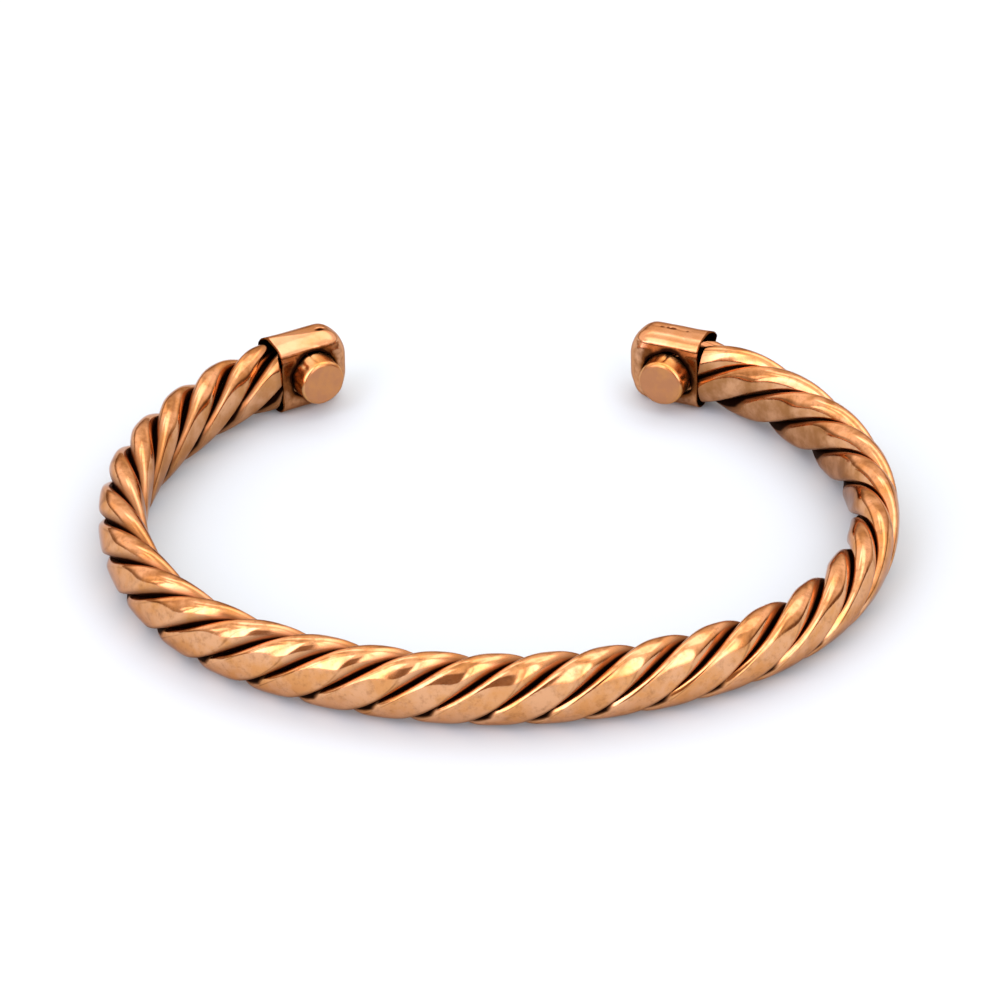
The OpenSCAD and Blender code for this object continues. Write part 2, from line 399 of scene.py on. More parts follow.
def twistRate(s):
    i, share = layAt(s)
    first, second = 360 / rope["lays"][i], 360 / rope["lays"][i + 1]
    return first + (second - first) * share


def sizeAt(name, column, inCap):
    first, last = rope[name][column], rope[name + "InCap"][column]
    return (first + (last - first) * inCap) * mm


def ropeLine():
    # the rope's centreline as a mesh of edges that carries the twist and the sizes across it
    left, right = armPoints(-1), armPoints(1)
    points = left[:0:-1] + right
    mesh = bpy.data.meshes.new("rope_line")
    mesh.from_pydata([(p[1] * mm, p[2] * mm, rope["centreZ"] * mm) for p in points],
                     [(i, i + 1) for i in range(len(points) - 1)], [])
    twist, angle = [], 0.0
    for i, point in enumerate(points):
        if i:
            angle += twistRate((point[0] + points[i - 1][0]) / 2) * rope["step"]
        twist.append(angle)
    middle = twist[len(left) - 1]
    radius = wire["diameter"] / 2
    columns = {"twist": [math.radians(t - middle + rope["phase"]) for t in twist],
               "halfThick": [], "halfWide": [], "asideRadius": [], "middleRadius": [], "sheltered": []}
    for s, *_ in points:
        i, share = layAt(s)
        lay = rope["lays"][i] + (rope["lays"][i + 1] - rope["lays"][i]) * share
        mouth = rope["arms"][0 if s < 0 else 1] - rope["capLength"]
        inCap = smoothStep((abs(s) - mouth + rope["thinLength"]) / rope["thinLength"])
        columns["sheltered"].append(smoothStep((abs(s) - mouth + rope["shelter"]) / rope["shelter"]))
        aside = radius / math.cos(math.atan(math.pi * wire["centreCircle"] * wire["diameter"] / lay))
        columns["halfThick"].append(sizeAt("half", 0, inCap))
        columns["halfWide"].append(sizeAt("half", 1, inCap))
        columns["asideRadius"].append(aside * mm)
        columns["middleRadius"].append((math.hypot(radius, aside) + wire["gap"] / math.sqrt(2)) * mm)
    for name, values in columns.items():
        mesh.attributes.new(name, "FLOAT", "POINT").data.foreach_set("value", values)
    return mesh


def wireTree():
    # one wire of the rope: a tube laid along the line, turned about it and pressed to its outline
    tree = bpy.data.node_groups.new("pressed_wire", "GeometryNodeTree")
    for kind, names in (("Geometry", ("Line",)), ("Int", ("Sides", "Rings")),
                        ("Float", ("Wire Radius", "Turn", "Press Share", "Press Square", "Flat Square",
                                   "Flat Reach", "Crease", "Dent Size", "Dent Height", "Dent Detail")),
                        ("Material", ("Material",))):
        for name in names:
            tree.interface.new_socket(name, in_out="INPUT", socket_type="NodeSocket" + kind)
    tree.interface.new_socket("Wire", in_out="OUTPUT", socket_type="NodeSocketGeometry")
    add = partial(addNode, tree)
    given = add("NodeGroupInput")
    line = add("GeometryNodeMeshToCurve", {"Mesh": given["Line"]})[0]
    tube = add("GeometryNodeMeshCylinder", {"Vertices": given["Sides"], "Side Segments": given["Rings"],
                                            "Radius": 1, "Depth": 1}, fill_type="NGON")["Mesh"]
    position = add("GeometryNodeInputPosition")[0]
    start = add("SeparateXYZ", {0: position})
    share = add("Math", {0: start[2], 1: 0.5}, operation="ADD")[0]
    sampled = {}
    for name in ("twist", "halfThick", "halfWide", "asideRadius", "middleRadius", "sheltered"):
        column = add("GeometryNodeInputNamedAttribute", {"Name": name}, data_type="FLOAT")[0]
        sampled[name] = add("GeometryNodeSampleCurve", {"Curves": line, "Value": column, "Factor": share},
                            mode="FACTOR", data_type="FLOAT", use_all_curves=True)
    # a point on the tube's round section, turned about the line
    out = add("Math", {0: start[0], 1: given["Wire Radius"], 2: sampled["middleRadius"][0]},
              operation="MULTIPLY_ADD")[0]
    flank = add("Math", {0: start[1], 1: -1}, operation="MULTIPLY")[0]
    aside = add("Math", {0: flank, 1: sampled["asideRadius"][0]}, operation="MULTIPLY")[0]
    flat = add("CombineXYZ", {0: out, 1: aside})[0]
    angle = add("Math", {0: sampled["twist"][0], 1: given["Turn"]}, operation="ADD")[0]
    turned = add("VectorRotate", {"Vector": flat, "Angle": angle}, rotation_type="Z_AXIS")[0]
    thinner = add("CombineXYZ", {0: given["Press Share"], 1: 1, 2: 1})[0]
    turned = add("VectorMath", {0: turned, 1: thinner}, operation="MULTIPLY")[0]
    # a little further out towards the lower outer edge, most halfway round it, where corner is 0.5
    heading = add("VectorMath", {0: turned}, operation="NORMALIZE")[0]
    heading = add("VectorMath", {0: heading, 1: (1, -1, 0)}, operation="MULTIPLY")[0]
    heading = add("VectorMath", {0: heading, 1: (0, 0, 0)}, operation="MAXIMUM")[0]
    heading = add("SeparateXYZ", {0: heading})
    corner = add("Math", {0: heading[0], 1: heading[1]}, operation="MULTIPLY")[0]
    reach = add("Math", {0: given["Flat Reach"], 1: 2}, operation="MULTIPLY")[0]
    reach = add("Math", {0: corner, 1: reach, 2: 1}, operation="MULTIPLY_ADD")[0]
    turned = add("VectorMath", {0: turned, 3: reach}, operation="SCALE")[0]
    inCorner = add("Math", {0: corner, 1: 0}, operation="GREATER_THAN")[0]
    square = add("Mix", {0: inCorner, 2: given["Press Square"], 3: given["Flat Square"]})[0]
    # pressed back to the rope's outline where it stands out of it
    half = add("CombineXYZ", {0: sampled["halfThick"][0], 1: sampled["halfWide"][0], 2: 1})[0]
    part = add("VectorMath", {0: turned, 1: half}, operation="DIVIDE")[0]
    part = add("VectorMath", {0: part}, operation="ABSOLUTE")[0]
    part = add("SeparateXYZ", {0: part})
    powers = [add("Math", {0: part[i], 1: square}, operation="POWER")[0] for i in (0, 1)]
    over = add("Math", {0: powers[0], 1: powers[1]}, operation="ADD")[0]
    root = add("Math", {0: -1, 1: square}, operation="DIVIDE")[0]
    shrinkBy = add("Math", {0: over, 1: root}, operation="POWER")[0]
    shrink = add("Math", {0: shrinkBy, 1: 1, 2: given["Crease"]}, operation="SMOOTH_MIN")[0]
    pressed = add("VectorMath", {0: turned, 3: shrink}, operation="SCALE")[0]
    pressed = add("SeparateXYZ", {0: pressed})
    outward = add("VectorMath", {0: sampled["twist"][2], 1: (0, 0, 1)}, operation="CROSS_PRODUCT")[0]
    outward = add("VectorMath", {0: outward, 3: pressed[0]}, operation="SCALE")[0]
    upward = add("CombineXYZ", {2: pressed[1]})[0]
    place = add("VectorMath", {0: sampled["twist"][1], 1: outward}, operation="ADD")[0]
    place = add("VectorMath", {0: place, 1: upward}, operation="ADD")[0]
    # the material reads how far out of the grooves each point lies, on which flank, how near a
    # facet's edge, how far round to the wrist side and how near a cap
    beyond = add("Math", {0: shrinkBy, 1: 1}, operation="SUBTRACT")[0]
    inward = add("Math", {0: pressed[0], 1: sampled["halfThick"][0]}, operation="DIVIDE")[0]
    inward = add("Math", {0: inward, 1: -1}, operation="MULTIPLY")[0]
    marked = tube
    for name, value in (("crown", start[0]), ("flank", flank), ("facet_edge", beyond),
                        ("wrist_side", inward), ("sheltered", sampled["sheltered"][0])):
        marked = add("GeometryNodeStoreNamedAttribute", {"Geometry": marked, "Name": name, "Value": value},
                     data_type="FLOAT", domain="POINT")[0]
    # the streaks run along the straight wire, at its real length
    length = add("GeometryNodeCurveLength", {0: line})[0]
    unroll = add("CombineXYZ", {0: given["Wire Radius"], 1: given["Wire Radius"], 2: length})[0]
    straight = add("VectorMath", {0: position, 1: unroll}, operation="MULTIPLY")[0]
    marked = add("GeometryNodeStoreNamedAttribute",
                 {"Geometry": marked, "Name": "along_wire", "Value": straight},
                 data_type="FLOAT_VECTOR", domain="POINT")[0]
    laid = add("GeometryNodeSetPosition", {"Geometry": marked, "Position": place})[0]
    # shallow dents from the twisting and the rolling
    scale = add("Math", {0: 1, 1: given["Dent Size"]}, operation="DIVIDE")[0]
    dents = add("TexNoise", {"Scale": scale, "Detail": given["Dent Detail"]})[0]
    dents = add("Math", {0: dents, 1: 0.5}, operation="SUBTRACT")[0]
    depth = add("Math", {0: dents, 1: given["Dent Height"]}, operation="MULTIPLY")[0]
    normal = add("GeometryNodeInputNormal")[0]
    offset = add("VectorMath", {0: normal, 3: depth}, operation="SCALE")[0]
    dented = add("GeometryNodeSetPosition", {"Geometry": laid, "Offset": offset})[0]
    smooth = add("GeometryNodeSetShadeSmooth", {"Geometry": dented})[0]
    real = add("GeometryNodeRealizeInstances", {"Geometry": smooth})[0]
    finished = add("GeometryNodeSetMaterial", {"Geometry": real, "Material": given["Material"]})[0]
    add("NodeGroupOutput", {0: finished})
    return tree


def runTree(name, line, tree, values):
    # runs the node tree on the line and keeps its result as a plain mesh
    piece = addObject(name, line)
    modifier = piece.modifiers.new("nodes", "NODES")
    modifier.node_group = tree
    for item in tree.interface.items_tree:
        if item.in_out == "INPUT" and item.name in values:
            modifier[item.identifier] = values[item.name]
    graph = bpy.context.evaluated_depsgraph_get()
    result = bpy.data.meshes.new_from_object(piece.evaluated_get(graph), preserve_all_data_layers=True,
                                             depsgraph=graph)
    piece.modifiers.remove(modifier)
    piece.data = result
    result.name = name
    return piece


def makeWires():
    line, tree = ropeLine(), wireTree()
    for number in range(4):
        values = {"Sides": wire["sides"], "Rings": wire["rings"], "Wire Radius": wire["diameter"] / 2 * mm,
                  "Turn": math.radians(90 * number), "Press Share": wire["pressShare"],
                  "Press Square": wire["pressSquare"], "Crease": wire["crease"],
                  "Flat Square": wire["flatSquare"], "Flat Reach": wire["flatReach"],
                  "Dent Size": wire["dentSize"] * mm, "Dent Height": wire["dentHeight"] * mm,
                  "Dent Detail": wire["dentDetail"], "Material": wireCopper}
        piece = runTree(f"pressed_wire_{number + 1}", line, tree, values)
        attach(piece, "root")
        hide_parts(f"wire_{number + 1}")
        print(piece.name, "has", len(piece.data.polygons), "faces")


makeWires()

# Caps: a sheath of sheet, folded over each end and hammered. Lengths run in from the mouth,
# "out" towards the wrist and "up" along Z, all in mm. -1 is the left cap and 1 the right one
cap = {
    "length": 7,
    "width": 7,
    "thick": 4.35,
    "sheet": 0.22,
    "cornerRadius": 2.2,
    "edgeRadius": 1.6,
    "tilt": (0, 2),  # degrees, for the left and the right cap
    "sides": (70, 18, 22),  # faces along a broad side, a narrow side and a rounded edge
    # faces along the body, round the closed end and over its flat, outside and inside
    "rings": ((110, 34, 14), (40, 10, 5)),
    "seed": {-1: 5, 1: 15},
    "hammer": {"size": 2.2, "height": 0.034, "at": 2.5},  # that high at this distance from the middle
    "mouth": {
        "depth": 1.4,  # how far in its unevenness fades away
        "waveSize": 1.3,
        "wave": 0.08,
        "rounding": 0.07,  # of the cut edge
        "crest": 0.06,  # how far the edge's middle stands out, and where, as a share of the outer skin
        "crestAt": (0.955, 0.97),
        "soot_and_shade": (0.5, 0.1),  # painted shade along the cut edge, and how far in it fades away
    },
    # the corner of the mouth that stands out: where, the square of its size, and how far out and up
    "flap": {"at": (-1.7, 2.6), "spread": 1.2, "out": 0.4, "up": 0.08},
    "topFrom": 1.8,  # the top lies above this height
    # a ridge runs along the top, from the first place at the mouth to the second
    "ridge": {
        "line": {-1: (-0.7, 0.75), 1: (-0.2, -0.1)},
        "lineEnd": 1.5,  # the second place lies this far short of the closed end
        "height": 0.07,
        "slopes": {-1: (0.07, 0.16), 1: (0.03, 0.09)},  # away from the wrist and towards it
        "slopeReach": (1.2, 1.4),
        "fade": (0.6, 1.5, 1.2),  # it is gone this far from the closed end, and fades over these lengths
    },
    # the wrist side is pushed in below this height, over a crease this wide
    "push": {"below": 2.85, "crease": 0.14, "depth": 0.09, "bottom": (-2.6, 0.8), "wristSide": (1, 0.6)},
    # a dent on top: where, its radius and depth, its stretch along the cap, and how dark it is painted
    # inside
    "pit": {
        -1: {"at": (4.9, 0.1), "radius": 0.27, "depth": 0.14, "soot_and_shade": 1},
        1: {"at": (3.2, -0.3), "radius": 0.2, "depth": 0.04, "soot_and_shade": 0.6},
    },
    "pitStretch": 1.7,
    "pitDarkShrink": 1.05,  # how much smaller than the pit its darkening is
    "scratch": {
        1: {
            "run": (1.2, 5.4),
            "out": -0.2,
            "waver": (0.12, 0.8),  # how far aside it strays, and over what length
            "halfWidth": 0.16,
            "depth": 0.03,
            "ends": 0.6,
            "soot_and_shade": (0.5, 0.45, 2, 0.6),  # darkness, length of a patch, and how sharp and common they are
        },
    },
    # the hole for the magnet, whose edge is torn in places
    "hole": {"gap": 0.05, "tear": 0.3, "tearWaves": 1.3, "tearShare": 0.15, "deepest": 0.9, "widest": 3.2},
    # the torn lip round the hole, and how deep below the wrist side it still shapes the sheet
    "lip": {"height": 0.22, "width": 0.22, "waves": 2.2, "middle": 0.55, "vary": 0.9, "deepest": 0.7},
    # patina and painted shadow in the crack round the magnet: its width, and how much of it a raised lip
    # takes away
    "crackPatinaAndShadow": (0.13, 0.7),
    # painted shade on the wrist side below the push, where the face turns from the light, more beside the
    # magnet
    "faceShade": {
        "least": 0.3,
        "beside": (0.4, 1.3),  # more beside the magnet, and how far that reaches
        "crease": 0.05,  # it begins this far above the push
        "low": (0.45, -2.6, 3),  # its share at the bottom, that height, and over what height it grows
        "wristSide": (0.6, 0.3),
        "closedEnd": (0.6, 4.6, 1.2),  # how much less there, from where, and over what length
    },
}

magnet = {
    "radius": 2.25,
    "stand": 1.9,
    "rim": 0.36,
    "footGap": 0.05,  # above the rope inside the cap
    "place": {-1: (3.1, 0.25), 1: (2.8, 0)},  # in from the mouth and up
    "sides": 180,
    "rings": (4, 34, 10, 30),  # over the foot, up the side, round the rim and over the face
    "seed": {-1: 26, 1: 34},
    "draft": 0.12,  # how much narrower the face is than the foot
    "oval": 0.008,  # how far from round, as a share of the radius
    "waist": (0.25, 0.9, 0.03),  # it is drawn in from here below the face, over this height, by this much
    "wobble": (0.03, 1.5, 0.8),  # unevenness of the side: height, waves round it and waves up it
    "crimps": {-1: (98, 128, 152, 178, 236, 318), 1: (22, 48, 66, 92, 140, 262)},  # degrees round the side
    "crimpDepth": 0.09,
    "crimpWidth": (4.5, 0.3, 3),  # degrees, how much wider each next one is, and after how many again
    "crimpShare": (0.7, 0.3),  # depth of the shallower ones, and how much more the others have
    "faceDent": (0.9, 0.035),
    "footShade": (0.2, 0.25),  # painted shade at the foot, inside the hole: it begins this far above the cap, and grows over this height
    # painted shade in the crimps
    "crimpShade": 0.12,
    "rimSatin": 0.7,  # share of the rim's width over which satin turns to bright
}


def capPlace(side):
    # turns a place in the cap's own directions into the frame's
    column = 0 if side < 0 else 1
    mouth = rope["arms"][column] - rope["capLength"]
    point = armPoints(side)[round(mouth / rope["step"])]
    heading = side * point[3]
    origin = Vector((side * point[1], point[2], rope["centreZ"]))
    along = Vector((math.cos(heading), math.sin(heading), 0))
    out = Vector((-math.sin(heading), math.cos(heading), 0))
    up = Vector((0, 0, 1))
    tilt = math.radians(cap["tilt"][column])

    def place(length, thick, rise):
        x = length - cap["length"] / 2
        x, rise = x * math.cos(tilt) + rise * math.sin(tilt), rise * math.cos(tilt) - x * math.sin(tilt)
        p = origin + along * (x + cap["length"] / 2) + out * thick + up * rise
        return Vector((side * p.x, p.y, p.z)) * mm

    return place


def capRing(length, inset):
    # one ring of points round the cap: (out, up) for each, from its sizes at that length
    corner, edge = cap["cornerRadius"] - inset, cap["edgeRadius"] - inset
    deep = length - (cap["length"] - inset - corner)
    flat = length - (cap["length"] - inset - edge)
    halfWide = cap["width"] / 2 - inset
    halfThick = cap["thick"] / 2 - inset
    if deep > 0:
        halfWide += math.sqrt(max(0, corner ** 2 - deep ** 2)) - corner
    if flat > 0:
        halfThick += math.sqrt(max(0, edge ** 2 - flat ** 2)) - edge
    radius = min(edge, halfThick, halfWide)
    broad, narrow, rounded = cap["sides"]
    quarters = ((1, 1), (-1, 1), (-1, -1), (1, -1))
    points = []
    for quarter, (a, b) in enumerate(quarters):
        centre = ((halfThick - radius) * a, (halfWide - radius) * b)
        for i in range(rounded):
            angle = math.radians(90 * quarter + 90 * i / rounded)
            points.append((centre[0] + radius * math.cos(angle), centre[1] + radius * math.sin(angle)))
        span = narrow if quarter % 2 == 0 else broad
        nextA, nextB = quarters[(quarter + 1) % 4]
        goal = ((halfThick - radius) * nextA, (halfWide - radius) * nextB)
        angle = math.radians(90 * quarter + 90)
        for i in range(span):
            share = i / span
            points.append((centre[0] + (goal[0] - centre[0]) * share + radius * math.cos(angle),
                           centre[1] + (goal[1] - centre[1]) * share + radius * math.sin(angle)))
    return points


def capStations(inset):
    # the rings from the mouth to the closed end: length, and how far each is drawn in on the flat end
    body, corner, end = cap["rings"][inset > 0]
    reach = cap["length"] - inset
    radius = cap["cornerRadius"] - inset
    stations = [((reach - radius) * i / body, 1) for i in range(body)]
    stations += [(reach - radius + radius * math.sin(math.radians(90 * i / corner)), 1)
                 for i in range(corner + 1)]
    stations += [(reach, 1 - i / end) for i in range(1, end)]
    return stations


def noiseAt(x, y, z, size, seed):
    return noise.noise(Vector((x / size + seed, y / size, z / size)))


def noiseRound(turn, waves, height):
    # noise round a circle, which closes on itself
    return noise.noise(Vector((math.cos(turn) * waves, math.sin(turn) * waves, height)))


def bell(x):
    return math.exp(-x ** 2)


def holeRadius(side, turn):
    hole = cap["hole"]
    torn = noiseRound(turn, hole["tearWaves"], cap["seed"][side]) + hole["tearShare"]
    return magnet["radius"] + hole["gap"] + hole["tear"] * max(0, torn)


def ridgeLift(side, length, out, rise):
    ridge = cap["ridge"]
    first, last = ridge["line"][side]
    off = out - first - (last - first) * length / (cap["length"] - ridge["lineEnd"])
    gone, fadeLength, fadeHeight = ridge["fade"]
    fade = smoothStep((cap["length"] - gone - length) / fadeLength)
    fade *= smoothStep((rise - cap["topFrom"]) / fadeHeight)
    (behind, ahead), (reachBehind, reachAhead) = ridge["slopes"][side], ridge["slopeReach"]
    fall = behind * min(reachBehind, max(0, -off)) + ahead * min(reachAhead, max(0, off))
    return (ridge["height"] - fall) * fade


def pitAt(side, length, out):
    # how deep the dent on top is here, and how dark it is painted
    pit = cap["pit"][side]
    far = math.hypot((length - pit["at"][0]) / cap["pitStretch"], out - pit["at"][1]) / pit["radius"]
    return pit["depth"] * math.exp(-far ** 4), pit["soot_and_shade"] * math.exp(-(far * cap["pitDarkShrink"]) ** 4)


def scratchAt(side, length, out):
    # how deep the scratch on top is here, and how dark it is painted
    scratch, seed = cap["scratch"][side], cap["seed"][side]
    (first, last), (stray, straySize) = scratch["run"], scratch["waver"]
    waver = scratch["out"] + stray * noiseAt(length, 0, 0, straySize, seed)
    line = bell(abs(out - waver) / scratch["halfWidth"])
    line *= smoothStep((length - first) / scratch["ends"]) * smoothStep((last - length) / scratch["ends"])
    most, patch, sharp, common = scratch["soot_and_shade"]
    patchy = smoothStep(noiseAt(length, 3, 0, patch, seed) * sharp + common)
    return scratch["depth"] * line, most * line * patchy


def capPoint(side, length, out, rise, inset):
    # moves a point of the smooth cap to where hammering, folding and tearing leave it: its new
    # place and how dark it is painted there, partly as painted shade
    seed, dark = cap["seed"][side], 0.0
    hammer, mouth, flap, push = cap["hammer"], cap["mouth"], cap["flap"], cap["push"]
    if inset == 0:
        bump = noiseAt(length, out, rise, hammer["size"], seed) * hammer["height"]
        grow = 1 + bump / hammer["at"]
        out, rise = out * grow, rise * grow
    near = smoothStep(1 - length / mouth["depth"])
    length += near * mouth["wave"] * noiseAt(out, rise, 0, mouth["waveSize"], seed + 3)
    flapOut, flapUp = flap["at"]
    corner = math.exp(-((out - flapOut) ** 2 + (rise - flapUp) ** 2) / flap["spread"])
    length -= near * flap["out"] * corner
    rise += near * flap["up"] * corner
    (bottom, bottomFade), (wristSide, wristFade) = push["bottom"], push["wristSide"]
    pushed = smoothStep((push["below"] - rise) / push["crease"]) * smoothStep((rise - bottom) / bottomFade)
    top = rise > cap["topFrom"]
    out -= push["depth"] * pushed * smoothStep((out - wristSide) / wristFade)
    if top:
        rise += ridgeLift(side, length, out, rise)
    if top and inset == 0:
        depth, dark = pitAt(side, length, out)
        rise -= depth
        if side in cap["scratch"]:
            depth, soot_and_shade = scratchAt(side, length, out)
            rise -= depth
            dark = max(dark, soot_and_shade)
    if out > cap["thick"] / 2 - cap["lip"]["deepest"]:
        lip, (centreLength, centreUp) = cap["lip"], magnet["place"][side]
        turn = math.atan2(rise - centreUp, length - centreLength)
        beyond = math.hypot(length - centreLength, rise - centreUp) - holeRadius(side, turn)
        raised = lip["middle"] + lip["vary"] * noiseRound(turn, lip["waves"], seed + 7)
        out += lip["height"] * max(0, raised) * bell(beyond / lip["width"])
        dark = max(dark, faceShade(length, out, rise, max(0, beyond), raised))
    # the inner skin is painted fully dark, as painted shade inside the cap
    if inset:
        dark = 1
    else:
        most, fade = mouth["soot_and_shade"]
        dark = max(dark, most * smoothStep(1 - length / fade))
    return length, out, rise, dark


def faceShade(length, out, rise, gap, raised):
    # patina and painted shadow in the crack round the magnet, and painted shade on the wrist side about it
    crack, cleaned = cap["crackPatinaAndShadow"]
    shade = math.exp(-gap / crack) * (1 - cleaned * max(0, min(1, raised)))
    face, push = cap["faceShade"], cap["push"]
    more, reach = face["beside"]
    low, bottom, height = face["low"]
    back, backFade = face["wristSide"]
    less, begin, span = face["closedEnd"]
    cover = smoothStep((push["below"] + face["crease"] - rise) / push["crease"])
    cover *= low + (1 - low) * smoothStep((rise - bottom) / height)
    cover *= smoothStep((out - cap["thick"] / 2 + back) / backFade)
    cover *= 1 - less * smoothStep((length - begin) / span)
    return shade + (face["least"] + more * math.exp(-gap / reach)) * cover


def addSkin(mesh, rings):
    # faces between each ring of points and the next
    count = len(rings[0])
    for first, second in zip(rings, rings[1:]):
        for i in range(count):
            j = (i + 1) % count
            corners = [first[i], second[i], second[j], first[j]]
            mesh.faces.new([c for n, c in enumerate(corners) if c not in corners[:n]])


def closeRing(mesh, ring, tip):
    for i in range(len(ring)):
        mesh.faces.new((tip, ring[i], ring[(i + 1) % len(ring)]))


def plainMesh(name, mesh, material):
    bmesh.ops.recalc_face_normals(mesh, faces=mesh.faces)
    data = bpy.data.meshes.new(name)
    mesh.to_mesh(data)
    mesh.free()
    data.polygons.foreach_set("use_smooth", [True] * len(data.polygons))
    data.materials.append(material)
    return data


def capMesh(side):
    place = capPlace(side)
    mesh = bmesh.new()
    soot_and_shade = mesh.verts.layers.float.new("soot_and_shade")

    def addPoint(length, out, rise, inset):
        length, out, rise, dark = capPoint(side, length, out, rise, inset)
        vert = mesh.verts.new(place(length, out, rise))
        vert[soot_and_shade] = dark
        return vert

    # the outer skin from the closed end to the mouth, the cut edge, and the inner skin back again
    rings = []
    mouth = cap["mouth"]
    for inset in (0, cap["sheet"]):
        stations = capStations(inset)
        if inset == 0:
            stations.reverse()
        atMouth = 0 if inset else len(stations) - 1
        for number, (length, draw) in enumerate(stations):
            shift = 0
            if number == atMouth:
                shift = mouth["rounding"] if inset else -mouth["rounding"]
            ring = capRing(length, inset)
            rings.append([addPoint(length, (out + shift * ((out > 0) - (out < 0))) * draw,
                                   (rise + shift * ((rise > 0) - (rise < 0))) * draw, inset)
                          for out, rise in ring])
        if inset == 0:
            crestOut, crestUp = mouth["crestAt"]
            rings.append([addPoint(-mouth["crest"], out * crestOut, rise * crestUp, inset)
                          for out, rise in ring])
    addSkin(mesh, rings)
    closeRing(mesh, rings[0], mesh.verts.new(place(cap["length"], 0, 0)))
    cutHole(mesh, side, place)
    return plainMesh("cap", mesh, sheetCopper)


def cutHole(mesh, side, place):
    # cuts the hole for the magnet through both skins, and brings the cut faces' points to its edge
    length, rise = magnet["place"][side]
    middle = place(length, cap["thick"] / 2, rise)
    axis = (place(length, 1, rise) - place(length, 0, rise)).normalized()
    along = (place(1, 0, 0) - place(0, 0, 0)).normalized()
    upward = (place(0, 0, 1) - place(0, 0, 0)).normalized()
    deepest, widest = cap["hole"]["deepest"], cap["hole"]["widest"]

    def polar(point):
        # height over the wrist side, distance from the axis, angle round it, and the way out from it
        off = point - middle
        flat = off - axis * off.dot(axis)
        return off.dot(axis) / mm, flat.length / mm, math.atan2(flat.dot(upward), flat.dot(along)), flat

    doomed = []
    for face in mesh.faces:
        height, far, turn, _ = polar(face.calc_center_median())
        if height > -deepest and far < holeRadius(side, turn):
            doomed.append(face)
    bmesh.ops.delete(mesh, geom=doomed, context="FACES")
    for vert in {v for edge in mesh.edges if edge.is_boundary for v in edge.verts}:
        height, far, turn, flat = polar(vert.co)
        if height > -deepest and far < widest:
            vert.co += flat.normalized() * (holeRadius(side, turn) - far) * mm


def magnetProfile(top):
    # (distance from the axis, out) of each ring, from the middle of the foot to beside the face's
    foot = rope["halfInCap"][0] + magnet["footGap"]
    radius, rim = magnet["radius"], magnet["rim"]
    footRings, sideRings, rimRings, faceRings = magnet["rings"]
    profile = [(radius * i / footRings, foot) for i in range(footRings)]
    profile += [(radius, foot + (top - rim - foot) * i / sideRings) for i in range(sideRings + 1)]
    for i in range(1, rimRings + 1):
        angle = math.radians(90 * i / rimRings)
        profile.append((radius - rim + rim * math.cos(angle), top - rim + rim * math.sin(angle)))
    profile += [((radius - rim) * (1 - i / faceRings), top) for i in range(1, faceRings)]
    return profile


def crimpPull(side, degrees):
    # how far in the crimps pull the side here, from 0 to about 1
    width, wider, again = magnet["crimpWidth"]
    shallow, more = magnet["crimpShare"]
    pull = 0.0
    for n, crimp in enumerate(magnet["crimps"][side]):
        off = (degrees - crimp + 180) % 360 - 180
        pull += bell(off / (width * (1 + wider * (n % again)))) * (shallow + more * (n % 2))
    return min(1, pull)


def magnetMesh(side):
    place = capPlace(side)
    mesh = bmesh.new()
    soot_and_shade = mesh.verts.layers.float.new("soot_and_shade")
    satin_and_shade = mesh.verts.layers.float.new("satin_and_shade")
    centre, seed = magnet["place"][side], magnet["seed"][side]
    capFace = cap["thick"] / 2
    top = capFace + magnet["stand"]
    radius, rim = magnet["radius"], magnet["rim"]
    below, waistFade, waist = magnet["waist"]
    wobble, waves, wavesUp = magnet["wobble"]
    dentSize, dentHeight = magnet["faceDent"]
    shadeFrom, shadeFade = magnet["footShade"]
    rings = []
    for far, out in magnetProfile(top):
        ring = []
        low = smoothStep((top - below - out) / waistFade)
        onSide = far > 0.9 * radius
        onFace = out > top - rim
        for i in range(magnet["sides"]):
            degrees = 360 * i / magnet["sides"]
            turn = math.radians(degrees)
            pull = crimpPull(side, degrees)
            r = far * (1 + magnet["oval"] * noiseRound(turn, 1, seed + 9))
            r -= low * (magnet["crimpDepth"] * pull + waist) * onSide
            r += wobble * noiseRound(turn, waves, out * wavesUp + seed) * low
            r -= magnet["draft"] * max(0, out - capFace) / magnet["stand"] * (far / radius)
            x, y = r * math.cos(turn), r * math.sin(turn)
            lift = noiseAt(x, y, seed, dentSize, seed) * dentHeight if onFace else 0
            vert = mesh.verts.new(place(centre[0] + x, out + lift, centre[1] + y))
            # painted shade at the foot and in the crimps
            vert[soot_and_shade] = max(smoothStep((capFace + shadeFrom - out) / shadeFade),
                             magnet["crimpShade"] * low * pull)
            vert[satin_and_shade] = smoothStep((radius - far) / (magnet["rimSatin"] * rim)) if onFace else 0
            ring.append(vert)
        rings.append(ring)
    # the foot's first ring is one point
    spare = rings[0][1:]
    rings[0] = [rings[0][0]] * magnet["sides"]
    addSkin(mesh, rings)
    middle = mesh.verts.new(place(centre[0], top, centre[1]))
    middle[satin_and_shade] = 1
    closeRing(mesh, rings[-1], middle)
    bmesh.ops.delete(mesh, geom=spare, context="VERTS")
    return plainMesh("magnet", mesh, caseCopper)


def makeEnds():
    for side, word in ((-1, "left"), (1, "right")):
        for name, data, node, slot in (
                (f"hammered_cap_{word}", capMesh(side), f"end_cap_{word}", "copper_sheet"),
                (f"cased_magnet_{word}", magnetMesh(side), f"magnet_{word}", "magnet_case")):
            piece = addObject(name, data)
            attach(piece, "root")
            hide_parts(node)
            print(name, "has", len(data.polygons), "faces")


makeEnds()

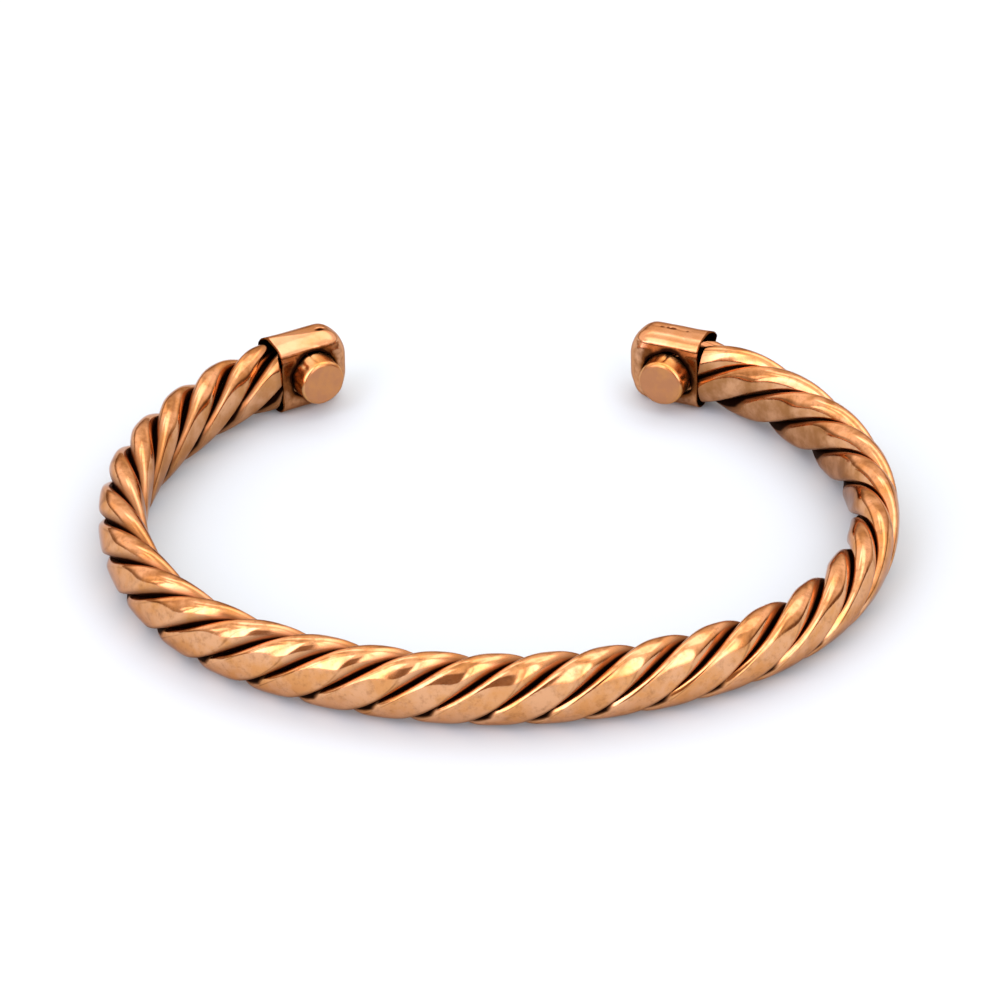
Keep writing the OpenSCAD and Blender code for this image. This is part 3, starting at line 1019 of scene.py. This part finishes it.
# A bright room round a pale floor: tall softboxes stand in front on both sides of the camera,
# with a dark gap between them that draws the brown bands on the copper, and lights high up
# behind show in the arms
studio = {
    "floor": "#C2D3DF",
    "floorSize": 1.2,  # m
    "floorRoughness": 0.9,
    # height of a direction in degrees, and the room's colour there
    "room": ((-90, "#8C7C74"), (0, "#AC9A8A"), (14, "#CCB8A4"), (40, "#FFEEDC"), (65, "#FFF2DE"),
             (90, "#FFF2DE")),
    "strength": 1.3,
    # name, the range of azimuth from the camera's side towards the right, the range of height,
    # the softness of the edges to the sides and up and down, all in degrees, then colour and strength
    "patches": (
        ("overhead_softbox", (-75, 75), (56, 86), 10, 7, "#FFF2E2", 1.15),
        ("camera_side", (-22, 6), (-10, 42), 5, 5, "#9A7C66", 0.85),
        ("left_wall", (-175, -95), (-10, 14), 6, 6, "#96806F", 0.95),
        ("left_back_glow", (-165, -92), (12, 52), 10, 8, "#FFEEE4", 1.1),
        ("right_back_glow", (95, 165), (14, 46), 10, 8, "#FFEEE4", 0.98),
        ("right_wall", (66, 112), (-10, 12), 5, 5, "#7A5C44", 0.8),
        ("right_back_softbox", (78, 182), (46, 76), 7, 7, "#FFF2EC", 2.1),
        ("left_back_strip", (-176, -132), (52, 64), 6, 5, "#FFF0F4", 2.4),
        ("high_strip", (-98, -62), (54, 68), 3, 3, "#FFF2E8", 2.2),
        ("left_softbox", (-49, -25), (-4, 68), 2, 7, "#FFEEF6", 3.2),
        ("left_strip", (-66, -51), (2, 58), 2, 6, "#FFEEF6", 3.0),
        ("left_edge", (-78, -71), (12, 38), 2, 4, "#FFEEE8", 2.2),
        ("right_glow", (8, 50), (-10, 30), 3, 6, "#FFF0E0", 1.0),
        ("right_strip", (9, 21), (4, 64), 3, 8, "#FFEEEC", 2.6),
        ("right_softbox", (25, 54), (4, 68), 4, 9, "#FFEEF0", 2.8),
    ),
}


def makeStudio():
    mesh = bpy.data.meshes.new("floor")
    half = studio["floorSize"] / 2
    mesh.from_pydata([(x * half, y * half, 0) for x, y in ((-1, -1), (1, -1), (1, 1), (-1, 1))],
                     [], [(0, 1, 2, 3)])
    floor = addObject("floor", mesh)
    material = bpy.data.materials.new("pale_matt_paper")
    material.use_nodes = True
    shader = material.node_tree.nodes["Principled BSDF"]
    shader.inputs["Base Color"].default_value = hexColor(studio["floor"])
    shader.inputs["Roughness"].default_value = studio["floorRoughness"]
    mesh.materials.append(material)
    world = bpy.data.worlds.new("studio")
    bpy.context.scene.world = world
    world.use_nodes = True
    world.node_tree.nodes.clear()
    add = partial(addNode, world.node_tree)
    direction = add("TexCoord")["Generated"]
    ray = add("SeparateXYZ", {0: direction})
    height = add("Math", {0: ray[2]}, operation="ARCSINE")[0]
    front = add("Math", {0: ray[1], 1: -1}, operation="MULTIPLY")[0]
    azimuth = add("Math", {0: ray[0], 1: front}, operation="ARCTAN2")[0]
    share = add("MapRange", {0: height, 1: math.radians(-90), 2: math.radians(90)})[0]
    light = add("ValToRGB", {0: share})[0]
    stops = light.node.color_ramp.elements
    while len(stops) < len(studio["room"]):
        stops.new(0.5)
    for stop, (angle, colour) in zip(stops, studio["room"]):
        stop.position = (angle + 90) / 180
        stop.color = hexColor(colour)
    for _, sides, heights, softAside, softUp, colour, strength in studio["patches"]:
        masks = []
        for angle, (low, high), soft in ((azimuth, sides, softAside), (height, heights, softUp)):
            off = add("Math", {0: angle, 1: math.radians((low + high) / 2)}, operation="SUBTRACT")[0]
            off = add("Math", {0: off}, operation="ABSOLUTE")[0]
            reach = (high - low) / 2
            masks.append(add("MapRange",
                             {0: off, 1: math.radians(reach + soft), 2: math.radians(reach - soft)},
                             interpolation_type="SMOOTHSTEP")[0])
        mask = add("Math", {0: masks[0], 1: masks[1]}, operation="MULTIPLY")[0]
        bright = [c * strength for c in hexColor(colour)[:3]] + [1]
        light = add("Mix", {0: mask, 6: light, 7: bright}, data_type="RGBA")[2]
    sky = add("Background", {"Color": light, "Strength": studio["strength"]})[0]
    add("OutputWorld", {"Surface": sky})
    bpy.context.scene.view_settings.view_transform = "Standard"


makeStudio()
